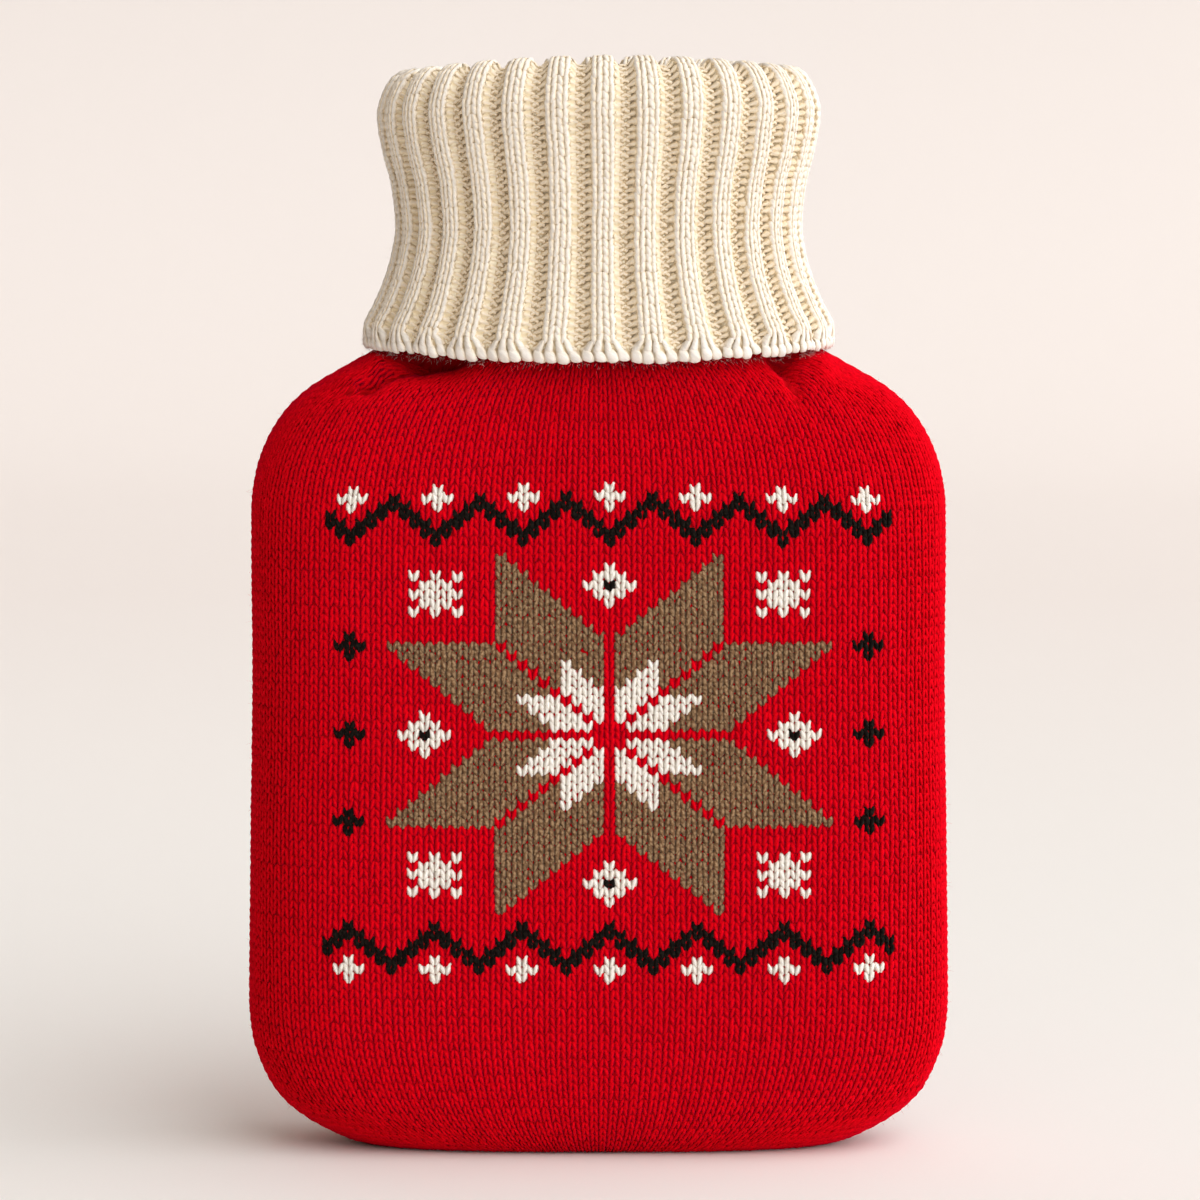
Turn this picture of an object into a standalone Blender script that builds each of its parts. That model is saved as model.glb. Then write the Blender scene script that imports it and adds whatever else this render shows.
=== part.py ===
"""Knitted cover for a two-litre hot water bottle, standing upright on its flat bottom.

Three pieces of knitting, each one closed solid, in metres, +Z up, front towards -Y:
  front_panel  plain knit half shell, from the side seams round the front and under the bottom
  back_panel   the same half shell, turned half round, with puckers of its own
  collar       rib-knit polo neck: inner wall up from the neck seam, over a soft roll, and
               down again outside to a flared hem that rests loosely over the shoulders
The origin is at the middle of the bottom. The cover is hollow and open at the neck.
"""

import math

import bpy
import numpy as np

MM = 0.001

# ---- driving dimensions, metres ----------------------------------------------------------
PANEL_THICKNESS = 0.0030
PIECE_GAP = 0.0003

RIB_COUNT = 30
RIB_CLOTH_THICKNESS = 0.0026
RIB_RELIEF = 0.0022            # crown of a rib above the floor of the recess beside it
RIB_SHIFT = math.radians(1.9)  # the middle rib stands a little right of the centre line
HEM_DROP_FRONT = 0.0029        # the hem hangs lower at front and back than at the sides
HEM_SCALLOP = 0.0007           # each rib ends a little lower than the recess beside it
HEM_DROP_FADES_AT = 0.285      # height where the hanging hem no longer shifts the rows
RIM_DROP_SIDES = 0.0036        # the rolled rim lies lower at the sides than at front and back
RIM_LEAN = 0.0006              # and a little higher on the right than on the left
RIM_DROP_STARTS_AT = 0.285     # height above which the rim's fall shifts the rows
RIM_DROP_FULL_AT = 0.3165

PANEL_COLUMNS = 28
SECTION_SAMPLES = 1440

# ---- body sections, from the neck down: millimetres --------------------------------------
# squareness is the power of |x / half_width| in the section's outline; depth keeps power 2
BODY_COLUMNS = ("height", "half_width", "half_depth", "squareness")
BODY_SECTIONS = (
    (251.5, 54.8, 28.2, 2.5),
    (248.8, 56.6, 28.3, 2.5),
    (246.3, 59.8, 28.4, 2.6),
    (243.9, 63.8, 28.5, 2.8),
    (241.2, 69.6, 28.6, 3.0),
    (237.5, 76.2, 28.8, 3.3),
    (231.5, 86.4, 29.1, 3.8),
    (225.5, 93.2, 29.4, 4.2),
    (219.5, 97.6, 29.7, 4.5),
    (213.5, 100.7, 30.0, 4.7),
    (206.0, 103.2, 30.3, 5.0),
    (195.4, 104.7, 30.7, 5.3),
    (176.0, 104.9, 31.2, 5.5),
    (153.0, 104.8, 31.7, 5.5),
    (128.0, 105.1, 32.0, 5.5),
    (103.0, 105.7, 32.1, 5.5),
    (80.0, 106.1, 31.9, 5.5),
    (60.0, 106.5, 31.4, 5.5),
    (44.5, 106.7, 30.7, 5.4),
    (34.0, 105.9, 29.9, 5.3),
    (25.5, 103.4, 28.9, 5.1),
    (18.0, 99.8, 27.5, 4.8),
    (12.0, 94.8, 25.6, 4.4),
    (7.2, 88.2, 23.4, 4.0),
    (3.4, 81.4, 20.8, 3.6),
    (1.0, 75.8, 18.2, 3.2),
    (0.0, 71.5, 15.8, 2.8),
    (0.0, 67.0, 10.0, 2.8),
    (0.0, 63.5, 4.0, 2.8),
    (0.0, 62.0, 0.0, 2.8),
)
NECK_TOP = BODY_SECTIONS[0][0] * MM

# ---- puckers beside the collar's hem: millimetres, a minus depth is a soft ridge ----------
PUCKER_COLUMNS = ("across", "height", "reach_across", "reach_up", "depth")
FRONT_PUCKERS = (
    (-57.0, 236.0, 8.0, 9.0, 3.2),
    (-69.0, 231.0, 7.0, 8.0, -1.2),
    (-38.0, 234.0, 9.0, 8.0, -0.8),
    (62.0, 233.0, 9.0, 10.0, 3.4),
    (46.0, 232.0, 8.0, 9.0, -1.0),
    (76.0, 226.0, 8.0, 9.0, -1.1),
    (12.0, 234.0, 16.0, 6.0, 0.8),
)
BACK_PUCKERS = (
    (-60.0, 234.0, 9.0, 10.0, 2.6),
    (-44.0, 231.0, 8.0, 9.0, -0.9),
    (58.0, 235.0, 8.0, 9.0, 2.8),
    (72.0, 229.0, 8.0, 9.0, -1.0),
    (-8.0, 234.0, 18.0, 6.0, 0.7),
)

# ---- collar cloth, middle of its thickness, hem to neck seam: millimetres ----------------
COLLAR_COLUMNS = ("height", "half_width", "half_depth")
COLLAR_PATH = (
    (245.2, 68.2, 35.6),
    (249.0, 68.2, 35.5),
    (254.8, 65.5, 34.9),
    (262.0, 62.4, 34.1),
    (270.0, 59.9, 33.4),
    (279.5, 58.5, 33.0),
    (291.7, 59.6, 33.5),
    (305.0, 62.3, 34.8),
    (316.5, 63.8, 35.9),
    (322.0, 62.3, 34.8),
    (326.2, 59.6, 32.4),
    (327.6, 56.8, 30.0),
    (326.2, 54.2, 27.8),
    (321.5, 52.6, 26.4),
    (300.0, 52.2, 26.0),
    (275.0, 51.8, 25.9),
    (251.8, 53.0, 26.6),
)
COLLAR_DEPTH_POWER = 2.5        # of |y / half_depth|; width keeps power 2

# ---- one rib and its recess: place in the pitch, and height between -1 and 1 -------------
RIB_PROFILE_COLUMNS = ("place", "level")
RIB_PROFILE = (
    (-0.23, 1.0),
    (0.23, 1.0),
    (0.34, -1.0),
    (0.66, -1.0),
)

# ---- colours: base colour, roughness ------------------------------------------------------
RED_WOOL = ((0.46, 0.006, 0.012), 0.92)
CREAM_WOOL = ((0.83, 0.76, 0.62), 0.90)


def rows(table, columns):
    """Give each row of a millimetre table as a dictionary with its columns' names."""
    return [dict(zip(columns, row)) for row in table]


def clear_scene():
    for thing in list(bpy.data.objects):
        bpy.data.objects.remove(thing, do_unlink=True)


def wool(name, finish):
    colour, roughness = finish
    material = bpy.data.materials.new(name)
    material.use_nodes = True
    shader = material.node_tree.nodes["Principled BSDF"]
    shader.inputs["Base Color"].default_value = (*colour, 1.0)
    shader.inputs["Roughness"].default_value = roughness
    shader.inputs["Metallic"].default_value = 0.0
    return material


def unit(vectors):
    return vectors / np.linalg.norm(vectors, axis=-1, keepdims=True)


def half_section(half_width, half_depth, squareness, columns):
    """Front half of one body section, seam to seam, in steps of equal length."""
    angle = np.linspace(-math.pi / 2, math.pi / 2, SECTION_SAMPLES)
    x = half_width * np.sign(angle) * np.abs(np.sin(angle)) ** (2 / squareness)
    y = -half_depth * np.abs(np.cos(angle))
    steps = np.hypot(np.diff(x), np.diff(y))
    along = np.concatenate(([0.0], np.cumsum(steps)))
    wanted = np.linspace(0.0, along[-1], columns + 1)
    return np.interp(wanted, along, x), np.interp(wanted, along, y)


def panel_surface():
    """Outer face of the front half of the body: rows from the neck down, columns left to right."""
    grid = []
    for section in rows(BODY_SECTIONS, BODY_COLUMNS):
        x, y = half_section(section["half_width"], section["half_depth"],
                            section["squareness"], PANEL_COLUMNS)
        z = np.full_like(x, section["height"])
        grid.append(np.stack((x, y, z), axis=-1) * MM)
    return np.array(grid)


def surface_normals(grid):
    down = np.gradient(grid, axis=0)
    across = np.gradient(grid, axis=1)
    return unit(np.cross(down, across))


def pucker_depth(grid, puckers):
    """How far each point is drawn in by the soft troughs and ridges round the collar."""
    depth = np.zeros(grid.shape[:2])
    for pucker in rows(puckers, PUCKER_COLUMNS):
        across = (grid[..., 0] / MM - pucker["across"]) / pucker["reach_across"]
        up = (grid[..., 2] / MM - pucker["height"]) / pucker["reach_up"]
        depth += pucker["depth"] * MM * np.exp(-across ** 2 - up ** 2)
    seam_fade = 1.0 - np.abs(np.linspace(-1.0, 1.0, grid.shape[1])) ** 8
    return depth * seam_fade


def trim_to_seams(face, rise):
    """Lay a face's border on the seam plane, the neck's top and the bottom's level."""
    seam_plane = -PIECE_GAP / 2
    face[:, 0, 1] = seam_plane
    face[:, -1, 1] = seam_plane
    face[-1, :, 1] = seam_plane
    face[..., 1] = np.minimum(face[..., 1], seam_plane)
    face[0, :, 2] = NECK_TOP
    flat_rows = [index for index, section in enumerate(BODY_SECTIONS) if section[0] == 0.0]
    face[flat_rows, :, 2] = rise
    return face


def grid_faces(row_count, column_count, first, flip):
    faces = []
    for row in range(row_count - 1):
        for column in range(column_count - 1):
            a = first + row * column_count + column
            quad = (a, a + column_count, a + column_count + 1, a + 1)
            faces.append(quad[::-1] if flip else quad)
    return faces


def border_loop(row_count, column_count):
    """Grid indices once round the border, in the order of the outer face's own turn."""
    last_row = row_count - 1
    last_column = column_count - 1
    loop = [row * column_count for row in range(last_row)]
    loop += [last_row * column_count + column for column in range(last_column)]
    loop += [row * column_count + last_column for row in range(last_row, 0, -1)]
    loop += [column for column in range(last_column, 0, -1)]
    return loop


def make_panel(name, puckers, turn, material):
    """A half shell of knitting, with its outer face, inner face and the cloth's edge between."""
    outer = panel_surface()
    normals = surface_normals(outer)
    outer = outer - normals * pucker_depth(outer, puckers)[..., None]
    inner = outer - normals * PANEL_THICKNESS
    outer = trim_to_seams(outer, 0.0)
    inner = trim_to_seams(inner, PANEL_THICKNESS)

    row_count, column_count = outer.shape[:2]
    size = row_count * column_count
    points = np.concatenate((outer.reshape(-1, 3), inner.reshape(-1, 3)))
    faces = grid_faces(row_count, column_count, 0, False)
    faces += grid_faces(row_count, column_count, size, True)
    loop = border_loop(row_count, column_count)
    for here, after in zip(loop, loop[1:] + loop[:1]):
        faces.append((after, here, here + size, after + size))

    panel = add_object(name, points, faces, material)
    panel.rotation_euler = (0.0, 0.0, turn)
    return panel


def collar_outline(angle, half_width, half_depth):
    """A point of the collar's oval: angle 0 is the front, a right angle the right side."""
    x = half_width * math.sin(angle)
    depth = abs(math.cos(angle)) ** (2 / COLLAR_DEPTH_POWER)
    y = -half_depth * math.copysign(depth, math.cos(angle))
    return x, y


def collar_columns():
    """Angle and rib level of every column, four to a rib, once round the collar."""
    pitch = 2 * math.pi / RIB_COUNT
    columns = []
    for rib in range(RIB_COUNT):
        for point in rows(RIB_PROFILE, RIB_PROFILE_COLUMNS):
            angle = (rib + point["place"]) * pitch + RIB_SHIFT
            columns.append((angle, point["level"]))
    return columns


def soft_step(value, starts, full):
    """0 up to one place, 1 from another, with a smooth rise between."""
    share = min(max((value - starts) / (full - starts), 0.0), 1.0)
    return share * share * (3 - 2 * share)


def collar_middle(columns):
    """Middle of the rib cloth: rows from the hem over the roll to the neck seam."""
    path = rows(COLLAR_PATH, COLLAR_COLUMNS)
    hem = path[0]["height"] * MM
    top = max(range(len(path)), key=lambda index: path[index]["height"])
    grid = []
    for index, place in enumerate(path):
        height = place["height"] * MM
        hangs = soft_step(height, HEM_DROP_FADES_AT, hem) if index < top else 0.0
        rolls = soft_step(height, RIM_DROP_STARTS_AT, RIM_DROP_FULL_AT)
        ring = []
        for angle, level in columns:
            x, y = collar_outline(angle, place["half_width"] * MM, place["half_depth"] * MM)
            drop = HEM_DROP_FRONT * math.cos(angle) ** 2 * hangs
            drop += (RIM_DROP_SIDES * math.sin(angle) ** 2 - RIM_LEAN * math.sin(angle)) * rolls
            scallop = HEM_SCALLOP * max(level, 0.0) if index == 0 else 0.0
            ring.append((x, y, height - drop - scallop))
        grid.append(ring)
    return np.array(grid)


def make_collar(name, material):
    """The whole collar as one corrugated cloth, closed round its two faces and two edges."""
    columns = collar_columns()
    middle = collar_middle(columns)
    along = np.gradient(middle, axis=0)
    around = np.roll(middle, -1, axis=1) - np.roll(middle, 1, axis=1)
    normals = unit(np.cross(around, along))
    levels = np.array([level for angle, level in columns])
    relief = (levels * RIB_RELIEF / 2)[None, :, None]
    right_side = middle + normals * (relief + RIB_CLOTH_THICKNESS / 2)
    wrong_side = middle + normals * (relief - RIB_CLOTH_THICKNESS / 2)
    neck_seam = NECK_TOP + PIECE_GAP
    right_side[-1, :, 2] = neck_seam
    wrong_side[-1, :, 2] = neck_seam
    hem_line = (right_side[0] + wrong_side[0]) / 2
    hem_edge = hem_line - unit(along[0]) * RIB_CLOTH_THICKNESS / 2

    rings = np.concatenate((right_side, wrong_side[::-1], hem_edge[None]))
    ring_count, column_count = rings.shape[:2]
    faces = []
    for ring in range(ring_count):
        above = (ring + 1) % ring_count
        for column in range(column_count):
            beside = (column + 1) % column_count
            faces.append((ring * column_count + column, ring * column_count + beside,
                          above * column_count + beside, above * column_count + column))
    return add_object(name, rings.reshape(-1, 3), faces, material)


def add_object(name, points, faces, material):
    mesh = bpy.data.meshes.new(name)
    mesh.from_pydata([tuple(point) for point in points.tolist()], [], faces)
    mesh.validate()
    mesh.shade_smooth()
    mesh.set_sharp_from_angle(angle=math.radians(55))
    mesh.materials.append(material)
    thing = bpy.data.objects.new(name, mesh)
    bpy.context.scene.collection.objects.link(thing)
    return thing


def main():
    clear_scene()
    red = wool("red_wool_knit", RED_WOOL)
    cream = wool("cream_wool_rib", CREAM_WOOL)
    make_panel("front_panel", FRONT_PUCKERS, 0.0, red)
    make_panel("back_panel", BACK_PUCKERS, math.pi, red)
    make_collar("collar", cream)


main()
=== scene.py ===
# %% [markdown]
# # A knitted hot water bottle cover
# The real cover is knitted: a red plain-knit front and back, and a cream rib collar that
# is turned down over the shoulders. Knitting can be faked with a bump map on a smooth
# shell, but then its edges stay smooth and the light never falls between the stitches.
# Here every stitch leg is a small plump tube, laid on the cloth's own curved face.

# %% Load the solid model that gives every piece its place
import math

import bpy
import numpy as np
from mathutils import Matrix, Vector


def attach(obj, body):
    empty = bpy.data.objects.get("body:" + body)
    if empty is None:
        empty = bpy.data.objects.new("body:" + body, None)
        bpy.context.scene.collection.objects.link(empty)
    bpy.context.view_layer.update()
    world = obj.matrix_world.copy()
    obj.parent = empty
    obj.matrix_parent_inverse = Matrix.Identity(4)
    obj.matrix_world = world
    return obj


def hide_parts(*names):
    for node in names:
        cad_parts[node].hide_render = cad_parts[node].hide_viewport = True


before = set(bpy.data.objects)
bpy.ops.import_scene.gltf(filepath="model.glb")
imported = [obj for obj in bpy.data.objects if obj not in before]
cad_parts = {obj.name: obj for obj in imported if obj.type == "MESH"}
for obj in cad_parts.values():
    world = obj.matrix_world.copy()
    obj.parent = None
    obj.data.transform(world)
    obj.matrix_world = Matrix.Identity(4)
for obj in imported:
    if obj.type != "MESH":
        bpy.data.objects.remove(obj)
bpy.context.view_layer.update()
MM = 0.001
chance = np.random.default_rng(4)
bpy.context.scene.view_settings.view_transform = "Standard"

# %% [markdown]
# ## A smooth curve through a short table
# The body and the collar are described by a few sections, as a dressmaker's block is.
# Straight steps between them would show as kinks in the stitches, and a free spline can
# swing past a row. This curve passes through each row and never beyond its neighbours.

# %% Curve through a table's rows
def smooth_through(knots, values, wanted):
    """A smooth curve through a table's rows that never swings past them."""
    gaps = np.diff(knots)
    slopes = np.diff(values) / gaps
    lean = np.zeros(len(knots))
    before = 2 * gaps[1:] + gaps[:-1]
    after = gaps[1:] + 2 * gaps[:-1]
    same_way = slopes[:-1] * slopes[1:] > 0
    first = np.where(same_way, slopes[:-1], 1.0)
    second = np.where(same_way, slopes[1:], 1.0)
    lean[1:-1] = np.where(same_way, (before + after) / (before / first + after / second), 0.0)
    lean[0], lean[-1] = slopes[0], slopes[-1]
    place = np.clip(np.searchsorted(knots, wanted, side="right") - 1, 0, len(gaps) - 1)
    step = gaps[place]
    t = (wanted - knots[place]) / step
    rise = t * t * (3 - 2 * t)
    return (values[place] * (1 - rise) + values[place + 1] * rise
            + step * lean[place] * (t ** 3 - 2 * t ** 2 + t)
            + step * lean[place + 1] * (t ** 3 - t ** 2))


def soft_step(value, starts, full):
    """0 up to one place, 1 from another, with a smooth rise between."""
    share = np.clip((value - starts) / (full - starts), 0.0, 1.0)
    return share * share * (3 - 2 * share)


def unit(vectors):
    """The same directions, each one unit long."""
    return vectors / np.maximum(np.linalg.norm(vectors, axis=-1, keepdims=True), 1e-12)


def path_lengths(first, second):
    """How far along a path each of its points lies."""
    return np.concatenate(([0.0], np.cumsum(np.hypot(np.diff(first), np.diff(second)))))


def table_columns(table):
    """The columns of a millimetre table, as arrays."""
    return np.array(table, dtype=float).T


half_way = smooth_through(np.arange(3.0), np.array((0.0, 1.0, 1.5)), np.array((0.5,)))
print("half way from a row at 0 to one at 1: %.2f" % half_way[0])

# %% [markdown]
# ## The body's shape
# A filled bottle stretches the knitting into a flat, round-shouldered pouch. Each row
# gives the height of a section, how wide and deep it reaches, and how square it is. The
# wool's own thickness is part of these sizes, so the tops of the stitches lie on them.

# %% Sections of the body, millimetres
BODY_SECTIONS = (
    # height, half width, half depth, squareness
    (251.5, 54.8, 28.2, 2.5),
    (248.8, 56.6, 28.3, 2.5),
    (246.3, 59.8, 28.4, 2.6),
    (243.9, 63.8, 28.5, 2.8),
    (241.2, 69.6, 28.6, 3.0),
    (237.5, 76.2, 28.8, 3.3),
    (231.5, 86.4, 29.1, 3.8),
    (225.5, 93.2, 29.4, 4.2),
    (219.5, 97.6, 29.7, 4.5),
    (213.5, 100.7, 30.0, 4.7),
    (206.0, 103.2, 30.3, 5.0),
    (195.4, 104.7, 30.7, 5.3),
    (176.0, 104.9, 31.2, 5.5),
    (153.0, 104.8, 31.7, 5.5),
    (128.0, 105.1, 32.0, 5.5),
    (103.0, 105.7, 32.1, 5.5),
    (80.0, 106.1, 31.9, 5.5),
    (60.0, 106.5, 31.4, 5.5),
    (44.5, 106.7, 30.7, 5.4),
    (34.0, 105.9, 29.9, 5.3),
    (25.5, 103.4, 28.9, 5.1),
    (18.0, 99.8, 27.5, 4.8),
    (12.0, 94.8, 25.6, 4.4),
    (7.2, 88.2, 23.4, 4.0),
    (3.4, 81.4, 20.8, 3.6),
    (1.0, 75.8, 18.2, 3.2),
    (0.0, 71.5, 15.8, 2.8),
    (0.0, 67.0, 10.0, 2.8),
    (0.0, 63.5, 4.0, 2.8),
    (0.0, 62.0, 0.0, 2.8),
)
FACE_ROWS = 401
FACE_COLUMNS = 301
SECTION_POINTS = 1201
SEAM_PLANE = -0.15


def body_face():
    """Points of the front half of the body: rows from the neck down, columns left to right."""
    height, half_width, half_depth, squareness = table_columns(BODY_SECTIONS)
    chord = path_lengths(height, half_depth)
    wanted = np.linspace(0.0, chord[-1], FACE_ROWS)
    curves = [smooth_through(chord, values, wanted)
              for values in (height, half_width, half_depth, squareness)]
    angle = np.linspace(-math.pi / 2, math.pi / 2, SECTION_POINTS)
    grid = np.zeros((FACE_ROWS, FACE_COLUMNS, 3))
    for row, (z, wide, deep, square) in enumerate(zip(*curves)):
        x = wide * np.sign(angle) * np.abs(np.sin(angle)) ** (2 / square)
        y = -deep * np.abs(np.cos(angle))
        along = path_lengths(x, y)
        even = np.linspace(0.0, along[-1], FACE_COLUMNS)
        grid[row, :, 0] = np.interp(even, along, x)
        grid[row, :, 1] = np.interp(even, along, y)
        grid[row, :, 2] = z
    return grid, chord[-1]


BODY_FACE, BODY_LENGTH = body_face()
print("neck seam to the middle of the bottom: %.1f mm" % BODY_LENGTH)

# %% [markdown]
# ## Puckers beside the collar
# Where the tight neck seam gathers the wider body, the cloth sinks into a soft hollow on
# each side and swells a little next to it. A cloth simulation would move them about, so
# they are given one by one. Each row of the first table is one smooth dent, and a minus depth
# is a swelling. Each row of the second is a crease that runs from one place to another.

# %% Hollows and swellings, millimetres
FRONT_PUCKERS = (
    # across, height, reach across, reach up, depth
    (-54.5, 245.0, 5.2, 6.0, 12.5),
    (-45.0, 245.5, 5.8, 6.0, 10.5),
    (-36.0, 246.5, 8.0, 5.0, 5.0),
    (-49.0, 238.0, 10.0, 6.0, 1.6),
    (-65.5, 240.2, 4.2, 3.2, -2.8),
    (-75.0, 235.6, 5.5, 2.8, -1.8),
    (-68.0, 227.5, 9.0, 3.6, -0.7),
    (-36.0, 229.0, 9.0, 8.0, -0.8),
    (54.0, 243.0, 3.8, 4.6, 6.0),
    (44.0, 235.0, 8.0, 7.0, -0.8),
    (65.5, 237.5, 5.0, 6.0, -2.8),
    (69.0, 230.5, 5.0, 5.0, -0.6),
    (0.0, 246.5, 46.0, 4.0, 3.6),
    (6.0, 234.0, 38.0, 7.0, -1.7),
)
FRONT_CREASES = (
    # across, height, then both at its end, reach, depth, depth at its end
    (-60.0, 238.6, -68.5, 233.2, 2.0, 4.4, 3.4),
    (-68.5, 233.2, -80.0, 229.3, 2.0, 3.4, 0.6),
    (54.5, 242.0, 60.5, 226.5, 2.3, 5.2, 0.8),
)
BACK_PUCKERS = (
    # across, height, reach across, reach up, depth
    (-60.0, 234.0, 9.0, 10.0, 2.6),
    (-44.0, 231.0, 8.0, 9.0, -0.9),
    (58.0, 235.0, 8.0, 9.0, 2.8),
    (72.0, 229.0, 8.0, 9.0, -1.0),
    (-8.0, 234.0, 18.0, 6.0, 0.7),
)
NECK_SEAM_AT = 251.5
DENTS_FULL_AT = 246.5
SIDE_SEAMS_HOLD = 8


def steps_across(points, closed):
    """The way from each point of a grid to the next one in its row."""
    if closed:
        return (np.roll(points, -1, axis=1) - np.roll(points, 1, axis=1)) / 2
    return np.gradient(points, axis=1)


def outward(points, closed=False):
    """Outward directions of a grid whose rows run down and whose columns run to the right."""
    return unit(np.cross(np.gradient(points, axis=0), steps_across(points, closed)))


def puckered(points, puckers, creases):
    """The body's face with its hollows and creases pressed in and its swellings raised."""
    depth = np.zeros(points.shape[:2])
    x, z = points[..., 0], points[..., 2]
    for across, height, end_across, end_height, reach, deep, end_deep in creases:
        run, fall = end_across - across, end_height - height
        share = np.clip(((x - across) * run + (z - height) * fall)
                        / (run * run + fall * fall), 0.0, 1.0)
        away = np.hypot(x - across - share * run, z - height - share * fall)
        depth += (deep + (end_deep - deep) * share) * np.exp(-(away / reach) ** 2)
    for across, height, reach_across, reach_up, deep in puckers:
        depth += deep * np.exp(-((x - across) / reach_across) ** 2
                               - ((z - height) / reach_up) ** 2)
    depth *= 1.0 - np.abs(np.linspace(-1.0, 1.0, points.shape[1])) ** SIDE_SEAMS_HOLD
    depth *= soft_step(z, NECK_SEAM_AT, DENTS_FULL_AT)
    return points - outward(points) * depth[..., None]


print("dents in front:", len(FRONT_PUCKERS), "creases:", len(FRONT_CREASES))

# %% [markdown]
# ## A face that stitches can be laid on
# A stitch knows its place by counting: so many columns of stitches from the left seam, so
# many rows down. This helper turns such a place into a point on the curved cloth and the
# direction that faces away from it. It reads a dense grid, which is quick for thousands.

# %% Ask the cloth for a point
JUST_INSIDE = 1.001


def make_face(points, columns_each, rows_each, first_row=0.0, closed=False, way=1.0):
    """A cloth's face, with the grid columns to one unit across and grid rows to one along."""
    width = np.linalg.norm(steps_across(points, closed), axis=-1)
    return {"points": points, "normals": outward(points, closed) * way,
            "unit_width": width * columns_each,
            "columns_each": columns_each, "rows_each": rows_each, "first_row": first_row,
            "closed": closed, "way": way}


def on_face(face, across, along):
    """Point, outward direction and width of one unit at each place on the cloth."""
    row_count, column_count = face["points"].shape[:2]
    column = np.asarray(across) * face["columns_each"]
    row = (np.asarray(along) - face["first_row"]) * face["rows_each"]
    row = np.clip(row, 0, row_count - JUST_INSIDE)
    if face["closed"]:
        column = np.mod(column, column_count)
    else:
        column = np.clip(column, 0, column_count - JUST_INSIDE)
    left = np.floor(column).astype(int)
    upper = np.floor(row).astype(int)
    right = (left + 1) % column_count if face["closed"] else left + 1
    a = (column - left)[..., None]
    b = (row - upper)[..., None]
    found = []
    for values in (face["points"], face["normals"], face["unit_width"][..., None]):
        found.append(values[upper, left] * (1 - a) * (1 - b) + values[upper, right] * a * (1 - b)
                     + values[upper + 1, left] * (1 - a) * b + values[upper + 1, right] * a * b)
    return found[0], unit(found[1]), found[2][..., 0]


try_grid = np.stack((*np.meshgrid(np.arange(5.0), np.arange(5.0)), np.zeros((5, 5))), axis=-1)
print("a place on a level grid:", on_face(make_face(try_grid, 1.0, 1.0), 1.5, 2.25)[0])

# %% [markdown]
# ## Short lengths of yarn
# One leg of a stitch is a short, plump length of yarn: it rises out of the stitch below,
# swells, and dives under the next one. It could be a bevelled curve, but thousands of
# curves are slow. All legs share one small tube, so they are made together as arrays and
# joined into one mesh, each with its own patch of the bake map and its own shade.

# %% Build thousands of yarn lengths as one mesh
# Each place on a leg: how far along, how fat, how high.
FULL_LEG = ((0.12, 0.62, 0.88), (0.46, 1.00, 1.00), (0.84, 0.94, 0.82))
PLAIN_LEG = ((0.22, 0.78, 0.94), (0.76, 1.00, 0.86))
ROOF = ((1.0, -0.60), (0.0, 1.0), (-1.0, -0.60))
START_LIFT = 0.55
END_LIFT = 0.25
# Painted shade: a leg gets more of the painted shade colour the lower a place on it lies.
LOW_PAINTED_SHADE = 0.35
ABOVE_FLOOR = 0.02
BAKE_MAP_SHAPE = 1.6
BAKE_MARGIN = 0.06
STREAK_SHIFT = 53.0


def fill(target, key, values, kind=np.float32):
    """Hand a whole array to a mesh at once."""
    target.foreach_set(key, values.astype(kind).ravel())


def tube_pattern(stations, sides):
    """Faces of one yarn length and where they lie on its unrolled skin."""
    ring_count = len(stations)
    last = 1 + ring_count * sides
    places = [0.0] + [station[0] for station in stations] + [1.0]
    faces = []
    for side in range(sides):
        beside = (side + 1) % sides
        u, v = side / sides, (side + 1) / sides
        faces.append(((0, 1 + beside, 1 + side),
                      (((u + v) / 2, places[0]), (v, places[1]), (u, places[1]))))
        for ring in range(ring_count - 1):
            here, above = 1 + ring * sides, 1 + (ring + 1) * sides
            faces.append(((here + side, here + beside, above + beside, above + side),
                          ((u, places[ring + 1]), (v, places[ring + 1]),
                           (v, places[ring + 2]), (u, places[ring + 2]))))
        here = 1 + (ring_count - 1) * sides
        faces.append(((last, here + side, here + beside),
                      (((u + v) / 2, places[-1]), (u, places[-2]), (v, places[-2]))))
    return faces, last + 1


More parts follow.
